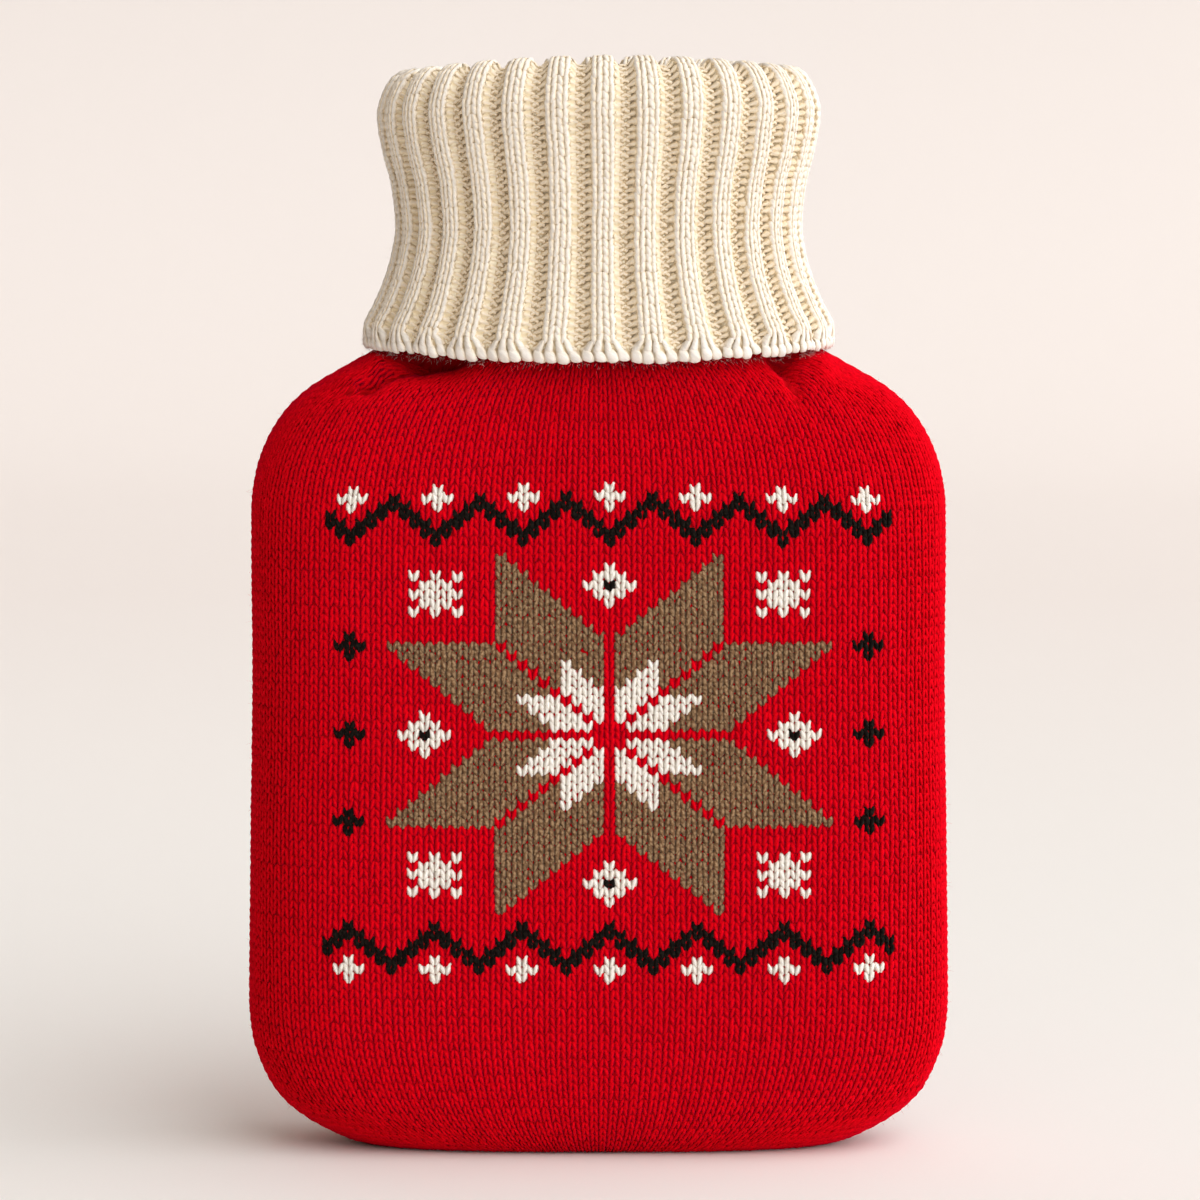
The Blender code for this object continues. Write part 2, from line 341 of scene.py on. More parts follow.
def yarn_mesh(name, points, stations, sides, lengths, shades, hollows):
    """One joined mesh of many yarn lengths: points is (lengths, points of one length, 3)."""
    faces, point_count = tube_pattern(stations, sides)
    count = len(points)
    loop_points = np.array([corner for corners, _ in faces for corner in corners])
    loop_places = np.array([place for _, places in faces for place in places])
    sizes = np.array([len(corners) for corners, _ in faces])
    loop_count = len(loop_points)
    starts = np.concatenate(([0], np.cumsum(sizes)[:-1]))
    points = np.concatenate((points[..., :2], np.maximum(points[..., 2:], ABOVE_FLOOR)), axis=-1)
    each = np.arange(count)
    mesh = bpy.data.meshes.new(name)
    mesh.vertices.add(count * point_count)
    fill(mesh.vertices, "co", points * MM)
    mesh.loops.add(count * loop_count)
    fill(mesh.loops, "vertex_index", loop_points + each[:, None] * point_count, np.int32)
    mesh.polygons.add(count * len(faces))
    fill(mesh.polygons, "loop_start", starts + each[:, None] * loop_count, np.int32)
    mesh.update(calc_edges=True)
    cells_across = max(1, math.ceil(math.sqrt(count * BAKE_MAP_SHAPE)))
    cells = (cells_across, math.ceil(count / cells_across))
    corner = np.stack((each % cells_across, each // cells_across), axis=-1)[:, None, :]
    bake = (corner + BAKE_MARGIN + (1 - 2 * BAKE_MARGIN) * loop_places[None]) / cells
    fill(mesh.uv_layers.new(name="OFBake").data, "uv", bake)
    strand = np.empty((count, loop_count, 2))
    strand[..., 0] = loop_places[:, 0]
    strand[..., 1] = loop_places[:, 1] * lengths[:, None] + shades[:, None] * STREAK_SHIFT
    fill(mesh.uv_layers.new(name="yarn").data, "uv", strand)
    mesh.uv_layers["OFBake"].active_render = True
    shades = np.repeat(shades, point_count)
    # The hollow mask is the painted shade mask that the yarn material reads.
    for label, values in (("leg_shade", shades), ("hollow", hollows)):
        fill(mesh.attributes.new(label, "FLOAT", "POINT").data, "value", values)
    mesh.shade_smooth()
    return mesh


def yarn_section(sides):
    """Sideways and upward places of a yarn's corners. Three make a roof, enough on cloth."""
    if sides == 3:
        return ROOF
    turns = [2 * math.pi * corner / sides for corner in range(sides)]
    return tuple((math.cos(turn), math.sin(turn)) for turn in turns)


def lay_yarn(name, face, starts, ends, girth, rise, stations, sides=3, deep=0.0, hugs=False):
    """Lay yarn lengths on a cloth, from place to place. Those that hug it bend round its ribs."""
    count = len(starts)
    shares = np.array([0.0] + [station[0] for station in stations] + [1.0])
    across = starts[:, None, 0] + (ends - starts)[:, None, 0] * shares
    along = starts[:, None, 1] + (ends - starts)[:, None, 1] * shares
    point, normal, width = on_face(face, across, along)
    axis = unit(point[:, -1] - point[:, 0])[:, None]
    side = unit(np.cross(normal, axis))
    girth = np.broadcast_to(girth, count)
    rise = np.broadcast_to(rise, count)[:, None]
    to_side = face["way"] * np.sign(ends[:, 1] - starts[:, 1])
    made = [point[:, 0] + normal[:, 0] * (rise * (START_LIFT - 0.5))]
    # The hollow mask marks painted shade: full at both ends, where a leg dives under its
    # neighbours, high at its lower corners, none at its top, and more the lower a ring lies; deep
    # adds painted shade to the whole yarn.
    hollow = [np.ones(count)]
    for index, (_, fat, lift) in enumerate(stations, start=1):
        for sideways, upward in yarn_section(sides):
            lifted = rise * (lift - 0.5 + 0.5 * fat * upward)
            if hugs:
                beside = across[:, index] + to_side * girth * fat * sideways
                spot, away, _ = on_face(face, beside, along[:, index])
                made.append(spot + away * lifted)
            else:
                reach = (girth * width[:, index] * fat * sideways)[:, None]
                made.append(point[:, index] + side[:, index] * reach + normal[:, index] * lifted)
            hollow.append(np.full(count, 0.5 - 0.5 * upward + (1 - lift) * LOW_PAINTED_SHADE))
    made.append(point[:, -1] + normal[:, -1] * (rise * (END_LIFT - 0.5)))
    hollow.append(np.ones(count))
    lengths = np.linalg.norm(point[:, -1] - point[:, 0], axis=-1)
    hollows = np.clip(np.stack(hollow, axis=1) + deep, 0.0, 1.0)
    mesh = yarn_mesh(name, np.stack(made, axis=1), stations, sides, lengths,
                     chance.random(count), hollows)
    return show(name, mesh)


def show(name, mesh):
    """Put a mesh into the scene as a piece that belongs to the cover."""
    piece = bpy.data.objects.new(name, mesh)
    bpy.context.scene.collection.objects.link(piece)
    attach(piece, "root")
    return piece


def triangle_count(pieces):
    """Triangles of several pieces together."""
    return sum(len(face.vertices) - 2 for piece in pieces for face in piece.data.polygons)


print("points of one full leg:", tube_pattern(FULL_LEG, 3)[1])

# %% [markdown]
# ## The cloth under the stitches
# Between the legs the eye meets the back of the same yarn. Leaving it out would let light
# through, so a thin closed sheet lies under the stitches: its outer face is where they
# stand, and its inner face is the wrong side, which shows when one looks into the neck.

# %% Make a closed sheet from two grids
PANEL_THICKNESS = 3.0
BODY_YARN_RISE = 1.0
SHEET_ROWS = 76
SHEET_COLUMNS = 64


def sheet_mesh(name, outer, inner, closed, across_units, along_units):
    """A closed sheet: outer face, inner face and the cloth's edges between them."""
    row_count, column_count = outer.shape[:2]
    size = row_count * column_count
    wrap = column_count if closed else column_count - 1
    faces, places = [], []
    for row in range(row_count - 1):
        for column in range(wrap):
            beside = (column + 1) % column_count
            quad = (row * column_count + column, (row + 1) * column_count + column,
                    (row + 1) * column_count + beside, row * column_count + beside)
            spot = ((column, row), (column, row + 1), (column + 1, row + 1), (column + 1, row))
            faces.append(quad)
            places.append(spot)
            faces.append(tuple(corner + size for corner in quad[::-1]))
            places.append(spot[::-1])
    index = np.arange(size).reshape(row_count, column_count)
    if closed:
        loops = (index[0, ::-1], index[-1])
    else:
        sides = (index[:-1, 0], index[-1, :-1], index[:0:-1, -1], index[0, :0:-1])
        loops = (np.concatenate(sides),)
    for loop in loops:
        for here, after in zip(loop.tolist(), np.roll(loop, -1).tolist()):
            faces.append((after, here, here + size, after + size))
            spot = [(corner % column_count, corner // column_count) for corner in (after, here)]
            places.append((spot[0], spot[1], spot[1], spot[0]))
    points = np.concatenate((outer.reshape(-1, 3), inner.reshape(-1, 3))) * MM
    mesh = bpy.data.meshes.new(name)
    mesh.from_pydata(points.tolist(), [], faces)
    weave = np.array([place for spot in places for place in spot], dtype=float)
    weave *= (across_units / wrap, along_units / (row_count - 1))
    fill(mesh.uv_layers.new(name="yarn").data, "uv", weave)
    mesh.shade_smooth()
    return mesh


print("panel cloth: %.1f mm thick" % PANEL_THICKNESS)

# %% [markdown]
# ## The body's two sheets
# The front and the back are knitted flat, joined at the sides and drawn over the bottle,
# which stretches them into shape. Each sheet keeps the folds of its solid. The stitches
# stand one millimetre high, so the sheet's outer face lies that much below the surface.

# %% Lay the front and back sheets
WALES = 75
COURSE = 2.62
FIRST_COURSE = 2
COURSES = int(BODY_LENGTH / COURSE)
HALF_TURN = np.array((-1.0, -1.0, 1.0))


def panel_sheet(name, puckers, creases, turn):
    """A body sheet and the face that its stitches stand on, turned about for the back."""
    top = puckered(BODY_FACE, puckers, creases)
    normals = outward(top)
    under = top - normals * BODY_YARN_RISE
    inner = top - normals * PANEL_THICKNESS
    for grid, lowest in ((under, BODY_YARN_RISE), (inner, PANEL_THICKNESS)):
        grid[:, (0, -1), 1] = SEAM_PLANE
        grid[-1, :, 1] = SEAM_PLANE
        grid[..., 1] = np.minimum(grid[..., 1], SEAM_PLANE)
        grid[..., 2] = np.maximum(grid[..., 2], lowest)
        grid *= HALF_TURN if turn else 1.0
    few = np.ix_(np.linspace(0, FACE_ROWS - 1, SHEET_ROWS).astype(int),
                 np.linspace(0, FACE_COLUMNS - 1, SHEET_COLUMNS).astype(int))
    mesh = sheet_mesh(name, under[few], inner[few], False, WALES, BODY_LENGTH / COURSE)
    face = make_face(under, (FACE_COLUMNS - 1) / WALES, (FACE_ROWS - 1) * COURSE / BODY_LENGTH)
    return show(name, mesh), face


front_cloth, front_face = panel_sheet("front_cloth", FRONT_PUCKERS, FRONT_CREASES, False)
back_cloth, back_face = panel_sheet("back_cloth", BACK_PUCKERS, (), True)
print("columns:", WALES, "rows:", COURSES)
print("triangles of both sheets:", triangle_count([front_cloth, back_cloth]))

# %% [markdown]
# ## Places of the plain-knit stitches
# Plain knitting shows a small V for each stitch, in upright columns. Hand-fed yarn is
# never quite even: columns wander a little, rows rise and fall, and a leg is now fuller,
# now flatter. Seeded random numbers give that unevenness, the same at every run.

# %% Count out the V legs
LEG_FOOT = 0.100
LEG_HEAD = 0.415
LEG_BELOW = 0.68
LEG_ABOVE = 0.80
LEG_JITTER = (0.024, 0.08, 0.024, 0.08)
COLUMN_WANDER = (34.0, 0.035)
ROW_DRIFT = (28.0, 0.05)
SHOULDER_SAG = 5.5
SAG_ENDS = 26.0
WAVE_OCTAVES = (1.0, 2.3, 4.7)


def slow_waves(lines, places, reach, size):
    """Gentle wandering of several lines, the same length each, as smooth random waves."""
    total = np.zeros((lines, len(places)))
    for octave in WAVE_OCTAVES:
        phase = chance.random((lines, 1)) * 2 * math.pi
        pace = (0.7 + 0.6 * chance.random((lines, 1))) * octave / reach
        total += np.sin(places[None] * pace * 2 * math.pi + phase) / octave
    return total * size


def pairs(across, along):
    """Places as rows of two numbers."""
    return np.stack((across, along), axis=-1).reshape(-1, 2)


def about(size, jitter, count):
    """That many sizes near one size, or near each of a row, by chance."""
    return size * (1 + jitter * chance.normal(size=count))


def plain_knit_places():
    """Feet and heads of every V leg, with the stitch's column and row."""
    wale = np.arange(WALES)
    course = np.arange(FIRST_COURSE - math.ceil(SHOULDER_SAG), COURSES)
    wander = slow_waves(WALES, course.astype(float), *COLUMN_WANDER).T
    drift = slow_waves(len(course), wale.astype(float), *ROW_DRIFT)
    middle = wale[None, :] + 0.5 + wander
    sideways = np.abs((wale + 0.5) / WALES * 2 - 1)
    sag = SHOULDER_SAG * sideways[None, :] ** 2 * (1 - soft_step(course, 0.0, SAG_ENDS))[:, None]
    level = course[:, None] + 0.5 + drift + sag
    shape = (len(course), WALES, 2)
    way = np.array((-1.0, 1.0))
    uneven = chance.normal(size=shape + (4,)) * LEG_JITTER
    foot = pairs(middle[..., None] + way * (LEG_FOOT + uneven[..., 0]),
                 level[..., None] + LEG_BELOW + uneven[..., 1])
    head = pairs(middle[..., None] + way * (LEG_HEAD + uneven[..., 2]),
                 level[..., None] - LEG_ABOVE + uneven[..., 3])
    column, row, kept = [np.broadcast_to(values, shape).ravel() for values in
                         (wale[None, :, None], course[:, None, None],
                          (level > FIRST_COURSE)[..., None])]
    return foot[kept], head[kept], column[kept], row[kept]


print("V legs in a full row:", 2 * WALES)

# %% [markdown]
# ## The motif's chart
# Knitters read a picture from a chart in which each square is a stitch. This one is a
# traditional northern star: eight leaning petals round a small star, seeds in its
# notches, and a zigzag line with seeds above and below. Rules of symmetry draw it: a
# place is first folded into one eighth of the star, so that one rule makes all petals.

# %% Ask the chart for a stitch's yarn
PETAL = 10
SMALL_PETAL = 4
NOTCH_SEED = 17
CORNER_FLAKE = 16
SIDE_SEED = 24
SIDE_SEED_STEP = 10
BORDER = 22
BORDER_SEED = 27
BORDER_END = 26
ZIGZAG_HALF = 4
MOTIF_COLUMN = 38
MOTIF_HEIGHT = 129.0
RED, BROWN, CREAM, BLACK = range(4)


def charted_yarn(right, up):
    """Which yarn knits the stitch that lies so many columns right of the middle and rows up."""
    a, b = np.abs(right), np.abs(up)
    big, small = np.maximum(a, b), np.minimum(a, b)
    lean = big - small
    yarn = np.full(big.shape, RED)
    petal = (small >= 1) & (small <= PETAL) & (lean >= 1) & (lean <= PETAL)
    yarn[petal] = BROWN
    yarn[petal & (small <= SMALL_PETAL) & (lean <= SMALL_PETAL)] = CREAM
    notch = np.abs(big - NOTCH_SEED) + small
    yarn[notch <= 2] = CREAM
    yarn[notch == 0] = BLACK
    p, q = np.abs(a - CORNER_FLAKE), np.abs(b - CORNER_FLAKE)
    yarn[(np.maximum(p, q) <= 2) & ((p == 0) | (q == 0) | (p == q))] = CREAM
    yarn[np.abs(a - SIDE_SEED) + np.minimum(b, np.abs(b - SIDE_SEED_STEP)) <= 1] = BLACK
    fold = np.abs((a + ZIGZAG_HALF) % (2 * ZIGZAG_HALF) - ZIGZAG_HALF)
    band = a <= BORDER_END
    yarn[band & ((b == BORDER + fold) | (b == BORDER + 1 + fold))] = BLACK
    yarn[band & (fold + np.abs(b - BORDER_SEED) <= 1)] = CREAM
    return yarn


def motif_yarns(column, row):
    """The chart laid on the front, its middle at the motif's height."""
    heights = on_face(front_face, np.full(COURSES, WALES / 2), np.arange(COURSES) + 0.5)[0][:, 2]
    middle_row = int(np.argmin(np.abs(heights - MOTIF_HEIGHT)))
    return charted_yarn(column - MOTIF_COLUMN, middle_row - row)


half_chart = np.arange(-BORDER_SEED - 1, BORDER_SEED + 2)
print("stitches in red, brown, cream and black:",
      np.bincount(charted_yarn(*np.meshgrid(half_chart, half_chart)).ravel()))

# %% [markdown]
# ## Knitting the front and the back
# The front's legs are sorted by yarn, because each yarn is a material of its own, and the
# red ones into an upper and a lower piece. The back is all red and seen less, so its legs
# have one ring fewer. A stitch's width follows the cloth, which narrows at the shoulders.

# %% Knit both panels
LEG_GIRTH = 0.236
LEG_RISE = 0.82
MOTIF_GIRTH_GAIN = 1.13
GIRTH_JITTER = 0.09
RISE_JITTER = 0.07
UNDERNEATH_RISE = 0.97


def knit_panel(name, face, with_motif, stations):
    """All the V legs of a panel, one piece for each yarn."""
    foot, head, column, row = plain_knit_places()
    yarns = motif_yarns(column, row) if with_motif else np.full(len(column), RED)
    girth = about(LEG_GIRTH, GIRTH_JITTER, len(foot))
    girth = np.where(yarns == RED, girth, girth * MOTIF_GIRTH_GAIN)
    rise = about(LEG_RISE, RISE_JITTER, len(foot))
    underneath = on_face(face, head[:, 0], head[:, 1])[0][:, 2] < BODY_YARN_RISE + 0.05
    rise = np.where(underneath, BODY_YARN_RISE * UNDERNEATH_RISE, rise)
    half = FIRST_COURSE + (COURSES - FIRST_COURSE) // 2
    groups = (("red_upper", (yarns == RED) & (row < half)),
              ("red_lower", (yarns == RED) & (row >= half)),
              ("brown", yarns == BROWN), ("cream", yarns == CREAM), ("black", yarns == BLACK))
    made = {}
    for label, chosen in groups:
        if chosen.any():
            made[label] = lay_yarn(f"{name}_{label}_stitches", face, foot[chosen], head[chosen],
                                   girth[chosen], rise[chosen], stations)
    return made


front_stitches = knit_panel("front", front_face, True, FULL_LEG)
back_stitches = knit_panel("back", back_face, False, PLAIN_LEG)
for side, stitches in (("front", front_stitches), ("back", back_stitches)):
    print(side, "stitches:", triangle_count(stitches.values()), "triangles")

# %% [markdown]
# ## The collar's shape
# The collar is one rib-knit tube. It rises from the neck seam, rolls over at the rim and
# comes down outside, drawn in at the waist and flared where it rests over the shoulders.
# Each row is a height on the middle of the cloth, with its half width and half depth.

# %% Path of the collar's cloth, millimetres
COLLAR_PATH = (
    # height, half width, half depth
    (245.2, 68.2, 35.6),
    (249.0, 68.2, 35.5),
    (254.8, 65.5, 34.9),
    (262.0, 62.4, 34.1),
    (270.0, 59.9, 33.4),
    (279.5, 58.5, 33.0),
    (291.7, 59.6, 33.5),
    (305.0, 62.3, 34.8),
    (316.5, 63.8, 35.9),
    (322.0, 62.3, 34.8),
    (326.2, 59.6, 32.4),
    (327.6, 56.8, 30.0),
    (326.2, 54.2, 27.8),
    (321.5, 52.6, 26.4),
    (300.0, 52.2, 26.0),
    (275.0, 51.8, 25.9),
    (251.8, 53.0, 26.6),
)
COLLAR_DEPTH_POWER = 2.5
RIB_COUNT = 30
RIB_SHIFT = math.radians(1.15)
RIB_EDGE = (0.225, 0.340)
RIB_RELIEF = 2.8
RIB_CLOTH_THICKNESS = 2.6
COLLAR_YARN_RISE = 0.8
HEM_DROP_FRONT = 2.9
HEM_DROP_FADES_AT = 285.0
RIM_DROP_SIDES = 3.6
RIM_LEAN = 0.6
RIM_DROP_STARTS_AT = 285.0
RIM_DROP_FULL_AT = 316.5
BELOW_HEM = 4.0
HEM_TUCK = 4.0
RIBS_OPEN = (0.2, 4.2)
HEM_RELIEF = 0.2
HEM_LIFT = 0.6
RIB_GRID = 12
PATH_STEP = 0.6


def collar_grids():
    """The collar's outer and inner faces as dense grids, and the length of its path."""
    hem = COLLAR_PATH[0]
    height, half_width, half_depth = table_columns(
        ((hem[0] - BELOW_HEM, hem[1] - HEM_TUCK, hem[2] - HEM_TUCK),) + COLLAR_PATH)
    chord = path_lengths(height, half_width)
    chord[1:] += BELOW_HEM - chord[1]
    wanted = np.arange(0.0, chord[-1], PATH_STEP)
    z, wide, deep = [smooth_through(chord, values, wanted)[:, None]
                     for values in (height, half_width, half_depth)]
    place = np.arange(RIB_COUNT * RIB_GRID) / RIB_GRID
    angle = (place * 2 * math.pi / RIB_COUNT + RIB_SHIFT)[None]
    middle = np.zeros((len(wanted), len(place), 3))
    middle[..., 0] = wide * np.sin(angle)
    turn = np.cos(angle)
    middle[..., 1] = -deep * np.sign(turn) * np.abs(turn) ** (2 / COLLAR_DEPTH_POWER)
    outside = wanted[:, None] < wanted[int(np.argmax(z))]
    hangs = (1 - soft_step(z, hem[0], HEM_DROP_FADES_AT)) * outside
    rolls = soft_step(z, RIM_DROP_STARTS_AT, RIM_DROP_FULL_AT)
    drop = HEM_DROP_FRONT * np.cos(angle) ** 2 * hangs
    drop = drop + (RIM_DROP_SIDES * np.sin(angle) ** 2 - RIM_LEAN * np.sin(angle)) * rolls
    middle[..., 2] = z - drop
    level = 1 - 2 * soft_step(np.abs((place + 0.5) % 1.0 - 0.5), *RIB_EDGE)
    normals = -outward(middle, closed=True)
    opens = soft_step(wanted - BELOW_HEM, *RIBS_OPEN)[:, None]
    raised = level * (HEM_RELIEF + (1 - HEM_RELIEF) * opens) + HEM_LIFT * (1 - opens)
    relief = (RIB_RELIEF / 2 * raised)[..., None]
    yarn_face = middle + normals * (relief + RIB_CLOTH_THICKNESS / 2 - COLLAR_YARN_RISE)
    wrong_side = middle + normals * (relief - RIB_CLOTH_THICKNESS / 2)
    return yarn_face, wrong_side, chord[-1] - BELOW_HEM


collar_outer, collar_inner, COLLAR_LENGTH = collar_grids()
print("collar from hem to neck seam: %.1f mm" % COLLAR_LENGTH)
print("collar reaches up to %.1f mm" % collar_outer[..., 2].max())

# %% [markdown]
# ## The collar's sheet
# The cloth behind the yarn is one long closed sheet, up the outer wall, over the rim and
# down inside to the neck seam. Copying the solid would do, but a sheet on the same path as
# the stitches stays a steady depth below them, so none of them sinks in or floats.

# %% Lay the collar's sheet
COLLAR_SHEET_EVERY = 4
SHEET_BELOW_YARN = 0.08
SHEET_PAST_HEM = 0.5
STITCHES_EACH_RIB = 4
INSIDE_COURSE = 2.4
collar_face = make_face(collar_outer, RIB_GRID, 1 / PATH_STEP, -BELOW_HEM, closed=True, way=-1.0)


def collar_sheet():
    """The collar's closed sheet, on every fourth row and two in three columns of the grids."""
    first, last = int((BELOW_HEM - SHEET_PAST_HEM) / PATH_STEP) + 1, len(collar_outer) - 1
    rows = np.unique(np.append(np.arange(first, last + 1, COLLAR_SHEET_EVERY), last))
    columns = np.array([column for column in range(RIB_COUNT * RIB_GRID) if column % 3 != 1])
    few = np.ix_(rows, columns)
    outer = (collar_outer - collar_face["normals"] * SHEET_BELOW_YARN)[few]
    mesh = sheet_mesh("collar_cloth", collar_inner[few], outer, True,
                      RIB_COUNT * STITCHES_EACH_RIB, COLLAR_LENGTH / INSIDE_COURSE)
    return show("collar_cloth", mesh)


collar_cloth = collar_sheet()
print("collar sheet triangles:", triangle_count([collar_cloth]))

# %% [markdown]
# ## Ribs: raised columns and hollows
# Two-by-two rib has two columns of V stitches on each raised rib, which show as four
# slender ropes, and two columns of purl bumps in each hollow. The legs here are long and
# nearly upright, because a rib collar draws in and its stitches stretch along the tube.

# %% Knit the collar's ropes
ROPE_PLACES = np.array((-0.200, -0.067, 0.067, 0.200))
ROPE_LEANS = np.array((-0.45, 1.0, -1.0, 0.45)) * 0.028
ROPE_GIRTH = 0.094
ROPE_RISE = 0.62
ROPE_COURSE = 2.24
ROPE_FOOT = -0.72
ROPE_HEAD = 0.92
ROPE_WANDER = (60.0, 0.012)
ROPE_DRIFT = (11.0, 0.12)
ROPE_JITTER = (0.006, 0.06 * ROPE_COURSE, 0.006)
ROPE_GIRTH_JITTER = 0.05
ROPE_RISE_JITTER = 0.06
ROPE_LEG = ((0.14, 0.74, 0.90), (0.50, 1.00, 1.00), (0.86, 0.80, 0.84))
ROPES_START = 4.9
ROLL_ENDS = 112.0
INSIDE_ENDS = COLLAR_LENGTH - 1.0


def knit_ropes(name, first, last, stations):
    """The four ropes of every rib, from one height on the collar's path to another."""
    rib = np.arange(RIB_COUNT)
    row = np.arange(first, last, ROPE_COURSE)
    wander = slow_waves(RIB_COUNT, row, *ROPE_WANDER).T[:, :, None]
    drift = slow_waves(len(row), rib.astype(float), *ROPE_DRIFT)[:, :, None]
    uneven = chance.normal(size=(len(row), RIB_COUNT, len(ROPE_PLACES), 3)) * ROPE_JITTER
    middle = rib[None, :, None] + ROPE_PLACES + wander + uneven[..., 0]
    level = row[:, None, None] + drift + uneven[..., 1]
    tilt = ROPE_LEANS + uneven[..., 2]
    start = pairs(middle - tilt, level + ROPE_FOOT * ROPE_COURSE)
    end = pairs(middle + tilt, level + ROPE_HEAD * ROPE_COURSE)
    girth = about(ROPE_GIRTH, ROPE_GIRTH_JITTER, len(start))
    rise = about(ROPE_RISE, ROPE_RISE_JITTER, len(start))
    return lay_yarn(name, collar_face, start, end, girth, rise, stations, hugs=True)


outer_ropes = knit_ropes("collar_outer_ropes", ROPES_START, ROLL_ENDS, ROPE_LEG)
inner_ropes = knit_ropes("collar_inner_ropes", ROLL_ENDS, INSIDE_ENDS, PLAIN_LEG)
print("ropes:", triangle_count([outer_ropes, inner_ropes]))

# %% [markdown]
# ## Purl bumps in the hollows
# Between the ribs one sees the backs of stitches: small level loops that lock into each
# other like fish scales. Each course gets a peaked pair of short yarns and, half a course
# on, a pair that dips, so that the two rows leave small dark holes between them.

# %% Knit the purl bumps
PURL_YARNS = (
    # shift up, outer end, inner end, peak, half width, rise
    (0.0, 0.255, 0.010, -0.50, 1.22, 0.62),
    (0.5, 0.115, -0.045, 0.44, 0.86, 0.68),
)
PURL_LEG = ((0.16, 0.94, 1.00), (0.52, 1.00, 1.02), (0.88, 0.90, 0.94))
PURL_STARTS = 2.4
# Painted shade added to every purl bump, which lies in a hollow between two ribs.
PURL_PAINTED_SHADE = 0.38
PURL_JITTER = (0.012, 0.07, 0.010)
PURL_GIRTH_JITTER = 0.07
NARROWEST_RIB = 6.0


def knit_purl(name, first, last, stations):
    """Dipping and peaked pairs of short yarns up every hollow."""
    rib = np.arange(RIB_COUNT)
    row = np.arange(first, last, ROPE_COURSE)
    starts, ends, half_widths, rises = [], [], [], []
    for shift, outer, inner, peak, half_width, rise in PURL_YARNS:
        for side in (-1.0, 1.0):
            uneven = chance.normal(size=(len(row), RIB_COUNT, 3)) * PURL_JITTER
            level = row[:, None] + (shift + uneven[..., 1]) * ROPE_COURSE
            out = rib[None] + 0.5 + side * (outer + uneven[..., 0])
            near = rib[None] + 0.5 + side * (inner + uneven[..., 2])
            starts.append(pairs(out, level - peak * ROPE_COURSE / 2))
            ends.append(pairs(near, level + peak * ROPE_COURSE / 2))
            half_widths.append(np.full(level.size, half_width))
            rises.append(np.full(level.size, rise * COLLAR_YARN_RISE))
    start, end = np.concatenate(starts), np.concatenate(ends)
    _, _, width = on_face(collar_face, start[:, 0], start[:, 1])
    girth = np.concatenate(half_widths) / np.maximum(width, NARROWEST_RIB)
    return lay_yarn(name, collar_face, start, end, about(girth, PURL_GIRTH_JITTER, len(start)),
                    np.concatenate(rises), stations, deep=PURL_PAINTED_SHADE)


outer_purl = knit_purl("collar_outer_purl", PURL_STARTS, ROLL_ENDS, PURL_LEG)
inner_purl = knit_purl("collar_inner_purl", ROLL_ENDS, INSIDE_ENDS, PLAIN_LEG)
print("purl bumps:", triangle_count([outer_purl, inner_purl]))

# %% [markdown]
# ## The cast-on edge
# The collar starts at its hem with a cast-on row. There each rope ends in a fat rounded
# toe, and the outer two splay over the hollow, so that the hem looks like a row of paws.
# A toe is a longer, thicker yarn length that bends round the cloth's edge.

# %% Make the hem's toes
TOE_PLACES = np.array((-0.376, -0.125, 0.125, 0.376))
TOE_LEAN = 0.075
TOE_GATHER = 0.90
TOE_SHIFT = 0.03
HEM_JITTER = (0.006, 0.012, 0.25, 0.20)
FLARE_PATH = ((0.02, 0.42, 0.50), (0.16, 0.72, 0.84), (0.40, 0.90, 1.00), (0.70, 1.05, 1.05),
              (0.90, 0.96, 0.80))
TOE_PATH = ((0.03, 0.20, 0.08), (0.18, 0.50, 0.50), (0.38, 0.72, 0.84), (0.60, 0.92, 1.02),
            (0.78, 1.04, 1.04), (0.92, 0.96, 0.92), (0.985, 0.56, 0.66))


def hem_yarns(name, tops, bottoms, heights, girth, rise, stations, sides):
    """Four yarn lengths at every rib between two heights above the hem."""
    rib = np.arange(RIB_COUNT)[:, None]
    uneven = chance.normal(size=(RIB_COUNT, 4, 4)) * HEM_JITTER
    start = pairs(rib + tops + uneven[..., 0], heights[0] + uneven[..., 2])
    finish = pairs(rib + bottoms + uneven[..., 1], heights[1] + uneven[..., 3])
    return lay_yarn(name, collar_face, start, finish, girth, rise, stations, sides, hugs=True)


rope_flares = hem_yarns("collar_rope_flares", ROPE_PLACES, TOE_PLACES,
                        heights=(4.9, 0.2), girth=0.086, rise=0.86, stations=FLARE_PATH, sides=5)
cast_on_toes = hem_yarns("collar_cast_on_toes", TOE_PLACES * TOE_GATHER - TOE_SHIFT,
                         TOE_PLACES + TOE_LEAN, heights=(2.9, -1.0), girth=0.128, rise=1.12,
                         stations=TOE_PATH, sides=6)
print("toes:", triangle_count([rope_flares, cast_on_toes]))

# %% [markdown]
# ## Side seams
# The front and the back are sewn together down both sides with the body's own yarn. The
# seam pulls the last column of each panel into a thin ridge of short upright stitches.

# %% Sew the side seams
SEAM_REACH = 0.75
SEAM_JITTER = 0.10
SEAM_GIRTH = 0.27
SEAM_RISE = BODY_YARN_RISE * 0.95


def side_seams():
    """Two upright rows of short stitches, at the first and past the last column."""
    row = np.arange(FIRST_COURSE, COURSES - 3) + 0.5
    made = []
    for side, place in (("left", 0.0), ("right", float(WALES))):
        shift = SEAM_JITTER * chance.normal(size=len(row))
        across = np.full_like(row, place)
        made.append(lay_yarn(f"{side}_seam_stitches", front_face,
                             pairs(across, row + SEAM_REACH + shift),
                             pairs(across, row - SEAM_REACH + shift),
                             SEAM_GIRTH, SEAM_RISE, ROPE_LEG, 4))
    return made


seam_stitches = side_seams()
print("seam stitches:", triangle_count(seam_stitches))

# %% [markdown]
# ## Loose fibres
# Wool is never clean-edged: single fibres stand off the stitches and catch the light, most
# of all along the collar's hem and over the rim. Hair particles would look the same, but
# they aren't mesh. Here each fibre is a thin three-sided spike, bent by chance.

